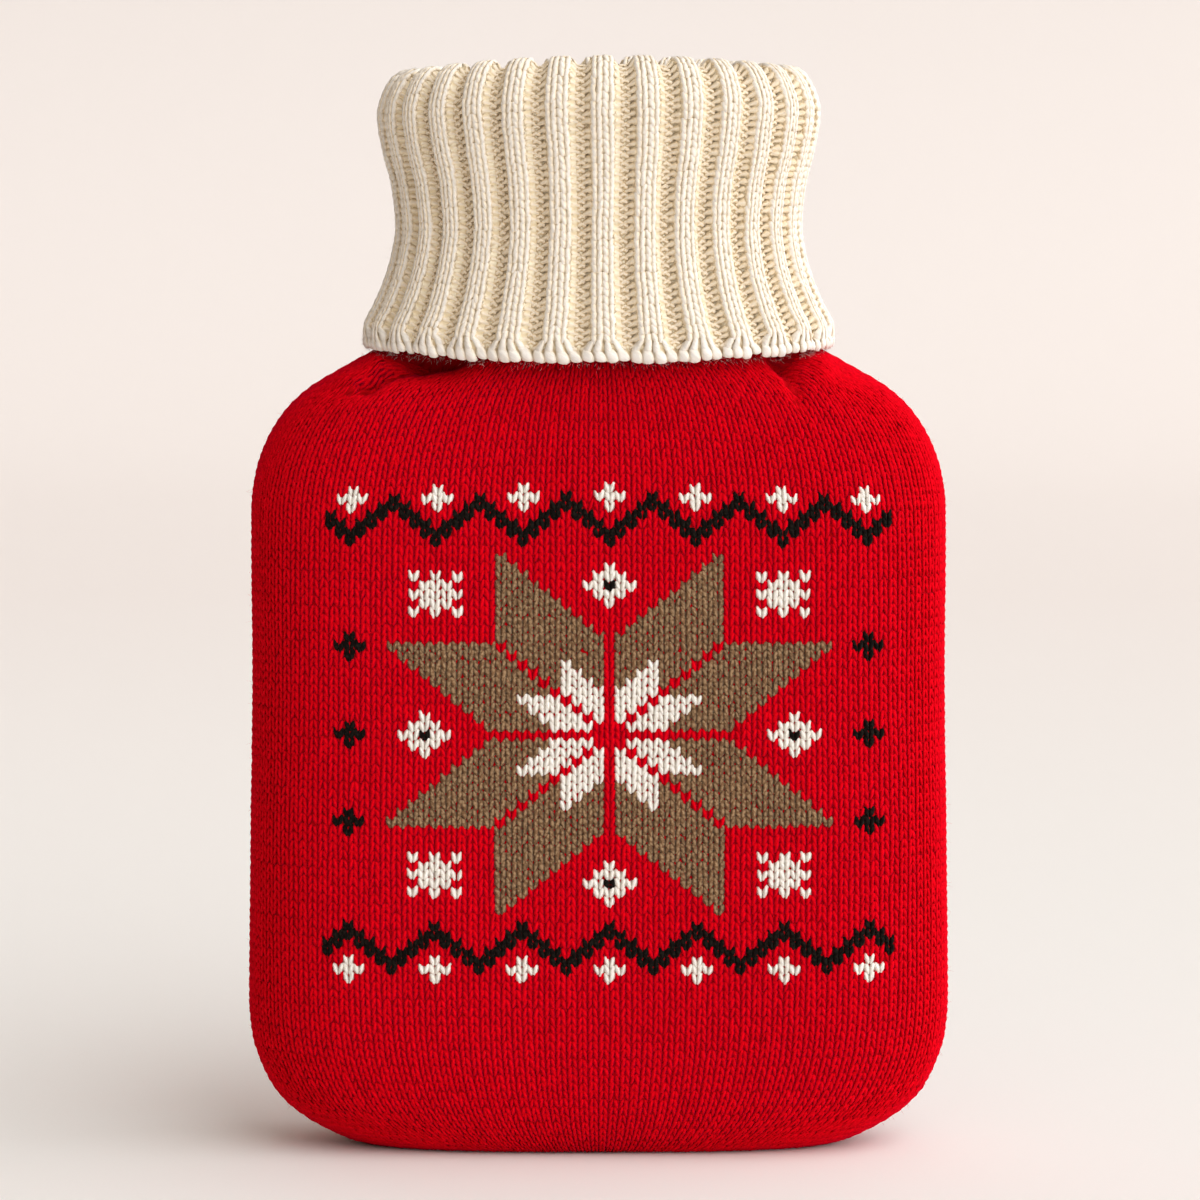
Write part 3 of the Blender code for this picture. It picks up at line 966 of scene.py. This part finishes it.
# %% Grow the fuzz
FIBRE_PATH = ((0.30, 1.0), (0.68, 0.75))
FIBRE_LIFT = 0.75
FIBRE_SPREAD = 0.8
FIBRE_BEND = 0.35
FIBRE_ROOT = 0.5
FIBRE_LENGTHS = (0.35, 1.25)
EDGE_FIBRES = 700
EDGE_BAND = 6
FUZZ = (
    # name, face, how many, across from and to, along from and to, length, thickness
    ("collar_hem_fuzz", collar_face, 2600, (0, RIB_COUNT), (-1.8, 1.4), 1.9, 0.017),
    ("collar_fuzz", collar_face, 1500, (0, RIB_COUNT), (2.0, 118.0), 2.0, 0.026),
    ("front_fuzz", front_face, 900, (0, WALES), (4, COURSES - 6), 1.8, 0.026),
)


def between(ends, count):
    """That many places between two ends, by chance."""
    return ends[0] + (ends[1] - ends[0]) * chance.random(count)


def grow_fuzz(name, face, across, along, length, thickness):
    """Thin bent fibres that stand on the cloth at the given places."""
    count = len(across)
    point, normal, _ = on_face(face, across, along)
    wild = chance.normal(size=(count, 3))
    way = unit(normal * FIBRE_LIFT + unit(wild) * FIBRE_SPREAD)
    bend = unit(chance.normal(size=(count, 3))) * FIBRE_BEND
    reach = length * between(FIBRE_LENGTHS, count)[:, None]
    root = point + normal * FIBRE_ROOT
    side = unit(np.cross(way, wild + 0.01))
    above = np.cross(side, way)
    made = [root]
    for share, fat in FIBRE_PATH:
        middle = root + (way * share + bend * share * share) * reach
        for corner in range(3):
            turn = 2 * math.pi * corner / 3
            edge = side * math.cos(turn) - above * math.sin(turn)
            made.append(middle + edge * thickness * fat)
    made.append(root + (way + bend) * reach)
    mesh = yarn_mesh(name, np.stack(made, axis=1), FIBRE_PATH, 3, reach[:, 0],
                     chance.random(count), np.zeros((count, len(made))))
    return show(name, mesh)


hem_fuzz, collar_fuzz, front_fuzz = [
    grow_fuzz(name, face, between(across, count), between(along, count), length, thickness)
    for name, face, count, across, along, length, thickness in FUZZ]
near_edges = np.where(chance.random(EDGE_FIBRES) < 0.5, between((0, EDGE_BAND), EDGE_FIBRES),
                      between((WALES, WALES - EDGE_BAND), EDGE_FIBRES))
edge_fuzz = grow_fuzz("edge_fuzz", front_face, near_edges, between((3, COURSES - 5), EDGE_FIBRES),
                      1.8, 0.026)
print("fuzz:", triangle_count([hem_fuzz, collar_fuzz, front_fuzz, edge_fuzz]))

# %% [markdown]
# ## What yarn looks like
# A knitting yarn is two strands twisted together, each a bundle of fibres that take the dye
# unevenly. A painted image would show that at one scale only. Shader nodes work it out from
# a rule at any scale, and these helpers keep the joining of nodes short.

# %% Helpers that join shader nodes
COLOUR = "NodeSocketColor"
NUMBER = "NodeSocketFloat"
SURFACE = (("Colour", COLOUR), ("Roughness", NUMBER), ("Height", NUMBER))


def add_node(tree, kind, **settings):
    """A new node with its settings."""
    node = tree.nodes.new(kind)
    for key, value in settings.items():
        setattr(node, key, value)
    return node


def feed(tree, value, target):
    """Give a socket a link, a colour or a plain number."""
    if isinstance(value, (int, float)):
        target.default_value = value
    elif isinstance(value, tuple):
        target.default_value = (*value, 1.0)
    else:
        tree.links.new(value, target)


def feed_all(tree, values, sockets):
    """Feed several sockets, each found by its label or number."""
    for label, value in values.items():
        feed(tree, value, sockets[label])


def maths(tree, operation, first, second=None, third=None, clamp=False):
    """A maths node; gives its output socket."""
    node = add_node(tree, "ShaderNodeMath", operation=operation, use_clamp=clamp)
    given = {index: value for index, value in enumerate((first, second, third))
             if value is not None}
    feed_all(tree, given, node.inputs)
    return node.outputs[0]


def mixed(tree, amount, first, second, blend="MIX"):
    """A colour mix; gives its output socket."""
    node = add_node(tree, "ShaderNodeMix", data_type="RGBA", blend_type=blend)
    feed_all(tree, {"Factor": amount, 6: first, 7: second}, node.inputs)
    return node.outputs[2]


def noise(tree, vector, scale, detail, **settings):
    """Noise in the given space; gives its output socket."""
    node = add_node(tree, "ShaderNodeTexNoise", **settings)
    feed_all(tree, {"Vector": vector, "Scale": scale, "Detail": detail}, node.inputs)
    return node.outputs[0]


def split(tree, vector):
    """The X, Y and Z sockets of a vector."""
    axes = add_node(tree, "ShaderNodeSeparateXYZ")
    feed(tree, vector, axes.inputs[0])
    return axes.outputs


def grey(tree, value):
    """A value as a shade of grey."""
    tone = add_node(tree, "ShaderNodeCombineColor")
    feed_all(tree, {"Red": value, "Green": value, "Blue": value}, tone.inputs)
    return tone.outputs[0]


def new_group(name, inputs):
    """A shader group with named inputs and a surface's outputs, and its two end nodes."""
    tree = bpy.data.node_groups.new(name, "ShaderNodeTree")
    for label, value in inputs:
        kind = COLOUR if isinstance(value, tuple) else NUMBER
        socket = tree.interface.new_socket(name=label, in_out="INPUT", socket_type=kind)
        socket.default_value = (*value, 1.0) if kind == COLOUR else value
    for label, kind in SURFACE:
        tree.interface.new_socket(name=label, in_out="OUTPUT", socket_type=kind)
    return tree, tree.nodes.new("NodeGroupInput").outputs, tree.nodes.new("NodeGroupOutput").inputs


print("every wool surface gives:", [label for label, _ in SURFACE])

# %% [markdown]
# ## Twisted plies and streaky dye
# The group works on the yarn's own coordinates, round it and along it: a sine on a slant
# makes the two plies, as relief and as painted shade between them, noise drawn out along
# the yarn its fibres, and broader noise the patches of a second strand. Last it mixes in the
# painted shade colour where the hollow mask marks a leg's low places. It is built once, and
# each yarn sets its own colours in it.

# %% Build the yarn strand group
PLY_SLANT = 0.16
PLY_PAINTED_SHADE = 0.045
PLY_HEIGHT = 0.35
STREAK_PITCH = (9.0, 0.55)
STREAK_SHADE = (0.34, 0.83)
MARL_PITCH = (2.2, 0.9)
MARL_STARTS = 0.62
MARL_SHARPNESS = 6.0
WOOL_ROUGHNESS = (0.14, 0.80)


def yarn_strand_group():
    """Colour, roughness and height of twisted wool, from its yarn coordinates."""
    tree, given, out = new_group("yarn strand", (
        ("Yarn", (0.5, 0.5, 0.5)), ("Second Strand", (0.5, 0.5, 0.5)),
        ("Painted Shade Colour", (0.2, 0.2, 0.2)), ("Second Share", 0.3), ("Leg Spread", 0.15),
        ("Painted Shade Depth", 0.6)))
    place = add_node(tree, "ShaderNodeUVMap", uv_map="yarn")
    around, along, _ = split(tree, place.outputs[0])
    twisted = maths(tree, "MULTIPLY_ADD", along, PLY_SLANT, around)
    ply = maths(tree, "SINE", maths(tree, "MULTIPLY", twisted, 4 * math.pi))
    patterns = []
    for pitch, detail in ((STREAK_PITCH, 3.0), (MARL_PITCH, 1.0)):
        spot = add_node(tree, "ShaderNodeCombineXYZ")
        feed(tree, maths(tree, "MULTIPLY", twisted, pitch[0]), spot.inputs[0])
        feed(tree, maths(tree, "MULTIPLY", along, pitch[1]), spot.inputs[1])
        patterns.append(noise(tree, spot.outputs[0], 1.0, detail, noise_dimensions="2D"))
    streaks, marl = patterns
    near = maths(tree, "SUBTRACT", maths(tree, "ADD", marl, given["Second Share"]), MARL_STARTS)
    share = maths(tree, "MULTIPLY", near, MARL_SHARPNESS, clamp=True)
    strand = mixed(tree, share, given["Yarn"], given["Second Strand"])
    leg = add_node(tree, "ShaderNodeAttribute", attribute_name="leg_shade").outputs["Fac"]
    spread = maths(tree, "MULTIPLY", maths(tree, "SUBTRACT", leg, 0.5), given["Leg Spread"])
    fibre = maths(tree, "MULTIPLY_ADD", streaks, *STREAK_SHADE)
    # The ply sine lightens the plies' crowns and darkens the colour between them: painted shade
    # beside the relief.
    light = maths(tree, "ADD", maths(tree, "MULTIPLY_ADD", ply, PLY_PAINTED_SHADE, spread), fibre)
    lit = mixed(tree, 1.0, strand, grey(tree, light), "MULTIPLY")
    # The hollow mask times the painted shade depth mixes in the painted shade colour: painted shade
    # on each leg's low places.
    hollow = add_node(tree, "ShaderNodeAttribute", attribute_name="hollow").outputs["Fac"]
    depth = maths(tree, "MULTIPLY", hollow, given["Painted Shade Depth"], clamp=True)
    feed_all(tree, {"Colour": mixed(tree, depth, lit, given["Painted Shade Colour"]),
                    "Roughness": maths(tree, "MULTIPLY_ADD", streaks, *WOOL_ROUGHNESS),
                    "Height": maths(tree, "MULTIPLY_ADD", ply, PLY_HEIGHT, streaks)}, out)
    return tree


YARN_STRAND = yarn_strand_group()
print("group:", YARN_STRAND.name, [item.name for item in YARN_STRAND.interface.items_tree])

# %% [markdown]
# ## The yarns
# Five yarns are used: red for the body, cream for the collar, and a cream, a black and a
# marled brown for the motif. Wool scatters light at grazing angles, which the sheen gives.
# The painted shade colour paints the shade and the light bounced between neighbouring legs
# onto each leg's low places.

# %% Mix the five yarns
YARNS = (
    # name, yarn, second strand, painted shade colour,
    # share of the second strand, leg spread, painted shade depth, sheen, sheen tint
    ("red_yarn", (0.73, 0.0001, 0.0072), (0.62, 0.0001, 0.0050), (0.60, 0.0001, 0.0034),
     0.16, 0.13, 0.44, 0.13, (1.0, 0.0, 0.20)),
    ("cream_motif_yarn", (0.91, 0.88, 0.83), (0.87, 0.82, 0.74), (0.78, 0.64, 0.48),
     0.16, 0.08, 0.40, 0.16, (1.0, 0.97, 0.92)),
    ("brown_yarn", (0.200, 0.108, 0.054), (0.37, 0.235, 0.130), (0.080, 0.036, 0.015),
     0.20, 0.34, 0.60, 0.10, (1.0, 0.85, 0.65)),
    ("black_yarn", (0.0060, 0.0042, 0.0036), (0.014, 0.012, 0.009), (0.003, 0.001, 0.001),
     0.16, 0.30, 0.50, 0.03, (0.8, 0.7, 0.6)),
    ("cream_rib_yarn", (0.87, 0.825, 0.775), (0.85, 0.795, 0.73), (0.98, 0.73, 0.36),
     0.16, 0.06, 0.70, 0.16, (1.0, 0.96, 0.90)),
)
YARN_BUMP = {"Strength": 0.35, "Distance": 0.00012}
YARN_SHEEN_ROUGHNESS = 0.45
WOOL_SHINE = 0.04


def new_material(name):
    """A material, its node tree and its shader's inputs."""
    material = bpy.data.materials.new(name)
    material.use_nodes = True
    return material, material.node_tree, material.node_tree.nodes["Principled BSDF"].inputs


def wool_material(name, group, given, bump, sheen):
    """A wool material: a group's colour, roughness and relief on one shader."""
    material, tree, shader = new_material(name)
    wool = add_node(tree, "ShaderNodeGroup", node_tree=group)
    relief = add_node(tree, "ShaderNodeBump")
    feed_all(tree, given, wool.inputs)
    feed_all(tree, {"Height": wool.outputs["Height"], **bump}, relief.inputs)
    feed_all(tree, {"Base Color": wool.outputs["Colour"], "Roughness": wool.outputs["Roughness"],
                    "Normal": relief.outputs[0], "Specular IOR Level": WOOL_SHINE, **sheen}, shader)
    return material


yarns = {}
for name, yarn, second, hollow, share, spread, depth, sheen, tint in YARNS:
    yarns[name] = wool_material(
        name, YARN_STRAND,
        {"Yarn": yarn, "Second Strand": second, "Painted Shade Colour": hollow,
         "Second Share": share, "Leg Spread": spread, "Painted Shade Depth": depth}, YARN_BUMP,
        {"Sheen Weight": sheen, "Sheen Roughness": YARN_SHEEN_ROUGHNESS, "Sheen Tint": tint})
print("yarns:", ", ".join(yarns))

# %% [markdown]
# ## The wrong side of the knitting
# Inside, the cloth shows rows of purl bumps. They are seen only through the neck, so a
# pattern of waves over the sheet's own stitch counts is enough, as colour and as relief.
# The gap shade between the waves is painted shade. The red sheet is painted darker than
# the red yarn and the cream sheet more ochre than the cream yarn: painted shade where the
# sheets show between the stitches outside.

# %% Build the wrong-side group and the sheets' materials
WAVE_REACH = 0.22
FIBRE_SHARE = 0.5
SHEET_ROUGHNESS = (0.15, 0.80)


def wrong_side_group():
    """Colour, roughness and height of purl bumps, from a sheet's stitch counts."""
    tree, given, out = new_group("wrong side of knitting",
                                 (("Yarn", (0.5, 0.5, 0.5)), ("Painted Gap Shade", (0.2, 0.2, 0.2))))
    place = add_node(tree, "ShaderNodeUVMap", uv_map="yarn").outputs[0]
    column, row, _ = split(tree, place)
    across = maths(tree, "SINE", maths(tree, "MULTIPLY", column, 2 * math.pi))
    along = maths(tree, "MULTIPLY_ADD", across, WAVE_REACH, row)
    wave = maths(tree, "SINE", maths(tree, "MULTIPLY", along, 2 * math.pi))
    height = maths(tree, "MULTIPLY_ADD", wave, 0.5, 0.5)
    fibres = noise(tree, place, 3.0, 4.0)
    uneven = maths(tree, "MULTIPLY_ADD", fibres, FIBRE_SHARE, height)
    # The gap shade fills the low parts of the waves: painted shade between the purl bumps.
    share = maths(tree, "SUBTRACT", uneven, 0.1, clamp=True)
    feed_all(tree, {"Colour": mixed(tree, share, given["Painted Gap Shade"], given["Yarn"]),
                    "Roughness": maths(tree, "MULTIPLY_ADD", fibres, *SHEET_ROUGHNESS),
                    "Height": uneven}, out)
    return tree


WRONG_SIDE = wrong_side_group()
SHEET_BUMP = {"Strength": 0.6, "Distance": 0.0006}
SHEET_SHEEN = 0.12
SHEETS = (
    # name, yarn, gap shade, sheen tint
    ("red_sheet", (0.50, 0.0003, 0.004), (0.34, 0.0001, 0.002), (1.0, 0.03, 0.10)),
    ("cream_sheet", (0.95, 0.84, 0.64), (0.82, 0.66, 0.42), (1.0, 0.95, 0.88)),
)
red_sheet, cream_sheet = [
    wool_material(name, WRONG_SIDE, {"Yarn": yarn, "Painted Gap Shade": gap_shade}, SHEET_BUMP,
                  {"Sheen Weight": SHEET_SHEEN, "Sheen Tint": tint})
    for name, yarn, gap_shade, tint in SHEETS]
print("sheets:", red_sheet.name, cream_sheet.name)

# %% [markdown]
# ## Who wears what
# Each piece gets its material, and each row of the table also names a slot. The solid
# model's own panels and collar are hidden, and the area of each sheet is printed.

body_red = [front_stitches["red_upper"], front_stitches["red_lower"], back_stitches["red_upper"],
            back_stitches["red_lower"], front_fuzz, edge_fuzz, *seam_stitches]
collar_yarns = [outer_ropes, inner_ropes, outer_purl, inner_purl, rope_flares, cast_on_toes,
                hem_fuzz, collar_fuzz]
FINISHES = (
    # pieces, material, slot
    (body_red, yarns["red_yarn"], "red_knit"),
    ([front_stitches["brown"]], yarns["brown_yarn"], "red_knit"),
    ([front_stitches["cream"]], yarns["cream_motif_yarn"], "red_knit"),
    ([front_stitches["black"]], yarns["black_yarn"], "red_knit"),
    (collar_yarns, yarns["cream_rib_yarn"], "cream_rib"),
    ([front_cloth, back_cloth], red_sheet, "red_knit"),
    ([collar_cloth], cream_sheet, "cream_rib"),
)
for pieces, material, slot in FINISHES:
    for piece in pieces:
        piece.data.materials.append(material)

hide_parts("front_panel")
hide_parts("back_panel")
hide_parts("collar")


def sheet_area(piece):
    """Area of one face of a closed sheet, in square metres."""
    return sum(face.area for face in piece.data.polygons) / 2


for piece in (front_cloth, back_cloth, collar_cloth):
    print(piece.name, "area %.4f m2" % sheet_area(piece))

# %% [markdown]
# ## Floor and backdrop
# The cover stands on one wide sheet of pale paper that bends up far behind it, as in a
# photographer's studio. A flat floor and a wall would show a line where they meet. The
# paper's colour turns a little warmer and darker towards the back and darker towards the
# top, a painted shade, and a little lighter to the right, a painted light.

# %% Sweep a paper floor up into a backdrop
SWEEP_WIDTH = 9.0
SWEEP_FRONT = -4.0
SWEEP_BEND = 2.2
SWEEP_RADIUS = 1.2
SWEEP_TOP = 3.4
SWEEP_STEPS = 16


def paper_sweep():
    """Floor, bend and wall in one sheet."""
    profile = [(SWEEP_FRONT, 0.0), (SWEEP_BEND * 0.5, 0.0), (SWEEP_BEND, 0.0)]
    for step in range(1, SWEEP_STEPS + 1):
        turn = math.pi / 2 * step / SWEEP_STEPS
        profile.append((SWEEP_BEND + SWEEP_RADIUS * math.sin(turn),
                        SWEEP_RADIUS * (1 - math.cos(turn))))
    profile.append((SWEEP_BEND + SWEEP_RADIUS, SWEEP_TOP))
    points = [(side * SWEEP_WIDTH / 2, y, z) for y, z in profile for side in (-1, 1)]
    faces = [(2 * row, 2 * row + 1, 2 * row + 3, 2 * row + 2) for row in range(len(profile) - 1)]
    mesh = bpy.data.meshes.new("paper_sweep")
    mesh.from_pydata(points, [], faces)
    mesh.shade_smooth()
    sweep = bpy.data.objects.new("paper_sweep", mesh)
    bpy.context.scene.collection.objects.link(sweep)
    return sweep


NEAR_PAPER = (0.893, 0.878, 0.850)
FAR_PAPER_SHADE = (0.850, 0.790, 0.755)
FAR_STARTS = (0.7, -0.05)
FLECKS = (0.03, 0.985)
PAINTED_SHADE_UP = -0.14
PAINTED_LIGHT_RIGHT = 0.03


def paper_material():
    """Pale paper with fine flecks, painted warmer and darker far behind, darker high up and lighter
    to the right: painted shade and light.
    """
    material, tree, shader = new_material("warm_paper")
    place = add_node(tree, "ShaderNodeTexCoord").outputs["Object"]
    right, back, up = split(tree, place)
    fleck = maths(tree, "MULTIPLY_ADD", noise(tree, place, 900.0, 2.0), *FLECKS)
    # Painted shade towards the top and painted light towards the right, on the paper's colour.
    tone = maths(tree, "MULTIPLY_ADD", up, PAINTED_SHADE_UP, fleck)
    tone = maths(tree, "MULTIPLY_ADD", right, PAINTED_LIGHT_RIGHT, tone)
    far = maths(tree, "MULTIPLY_ADD", back, *FAR_STARTS, clamp=True)
    paper = mixed(tree, far, NEAR_PAPER, FAR_PAPER_SHADE)
    feed_all(tree, {"Base Color": mixed(tree, 1.0, paper, grey(tree, tone), "MULTIPLY"),
                    "Roughness": 0.95, "Specular IOR Level": 0.1}, shader)
    return material


sweep = paper_sweep()
sweep.data.materials.append(paper_material())
print("sweep bends up %.1f m behind the cover" % SWEEP_BEND)

# %% [markdown]
# ## Light
# One wide, soft light stands at the right and gives every stitch its shaded side, and a
# weak one grazes the right edge. An evenly lit room would fill all hollows alike, so the
# air's light grows from left to right, and its warm left end tints the shadows.

# %% Hang the lights
SUN_WIDTH = math.radians(75)
LAMP_SIZE = 1.6
COOL_WHITE = (0.96, 0.985, 1.0)
WARM_WHITE = (1.0, 0.975, 0.95)
LIGHTS = (
    # name, kind, strength, colour, place, aimed at
    ("soft_key", "SUN", 2.22, COOL_WHITE, (0.66, -0.47, 0.60), (0.0, 0.0, 0.0)),
    ("side_light", "SUN", 0.42, COOL_WHITE, (1.0, 0.05, 0.28), (0.0, 0.0, 0.0)),
    ("backdrop_light", "AREA", 0.2, WARM_WHITE, (0.5, 1.3, 2.6), (0.1, 3.3, 0.6)),
)
AIR_STRENGTH = 0.58
AIR_GAIN_RIGHT = 0.56
AIR_LEFT = (1.04, 0.77, 0.52)
AIR_RIGHT = (0.94, 0.99, 1.05)


def set_up(name, data, place, target):
    """Put a lamp or a camera into the scene, turned to its target."""
    holder = bpy.data.objects.new(name, data)
    holder.location = place
    holder.rotation_euler = (Vector(target) - Vector(place)).to_track_quat("-Z", "Y").to_euler()
    bpy.context.scene.collection.objects.link(holder)
    return holder


def studio_air():
    """A world that gives more light, and less warm light, from the right."""
    world = bpy.data.worlds.new("studio_air")
    world.use_nodes = True
    tree = world.node_tree
    background = tree.nodes["Background"].inputs
    right = split(tree, add_node(tree, "ShaderNodeTexCoord").outputs["Generated"])[0]
    strength = maths(tree, "MULTIPLY_ADD", right, AIR_GAIN_RIGHT, AIR_STRENGTH)
    share = maths(tree, "MULTIPLY_ADD", right, 0.5, 0.5, clamp=True)
    feed_all(tree, {"Strength": strength, "Color": mixed(tree, share, AIR_LEFT, AIR_RIGHT)},
             background)
    return world


for name, kind, strength, colour, place, target in LIGHTS:
    lamp = bpy.data.lights.new(name, kind)
    lamp.energy = strength
    lamp.color = colour
    if kind == "SUN":
        lamp.angle = SUN_WIDTH
    else:
        lamp.size = LAMP_SIZE
    set_up(name, lamp, place, target)
    print(name, "comes from", place)
bpy.context.scene.world = studio_air()

# %% [markdown]
# ## Camera
# A long lens from a little above the rim keeps both sides of the cover nearly parallel. A
# short lens close by would show the same front, but would swell its middle.

# %% Set up the camera
CAMERA_PLACE = (0.00045, -1.35, 0.32)
CAMERA_AIM = (0.00045, 0.0, 0.16660)
CAMERA_LENS = 135.0
camera = set_up("camera", bpy.data.cameras.new("camera"), CAMERA_PLACE, CAMERA_AIM)
camera.data.lens = CAMERA_LENS
camera.data.sensor_width = 36.0
camera.data.clip_start = 0.05
camera.data.clip_end = 20.0
bpy.context.scene.camera = camera
print("lens: %.0f mm, %.2f m in front of the cover" % (CAMERA_LENS, -CAMERA_PLACE[1]))

# %% [markdown]
# ## Measure and finish
# The triangles of all the cover's pieces are counted. The dressed cover must stay as
# big as its solids, give or take the wool's fluff.

# %% Count the triangles and finish
everything = [piece for pieces, _, _ in FINISHES for piece in pieces]
print("triangles in all:", triangle_count(everything))
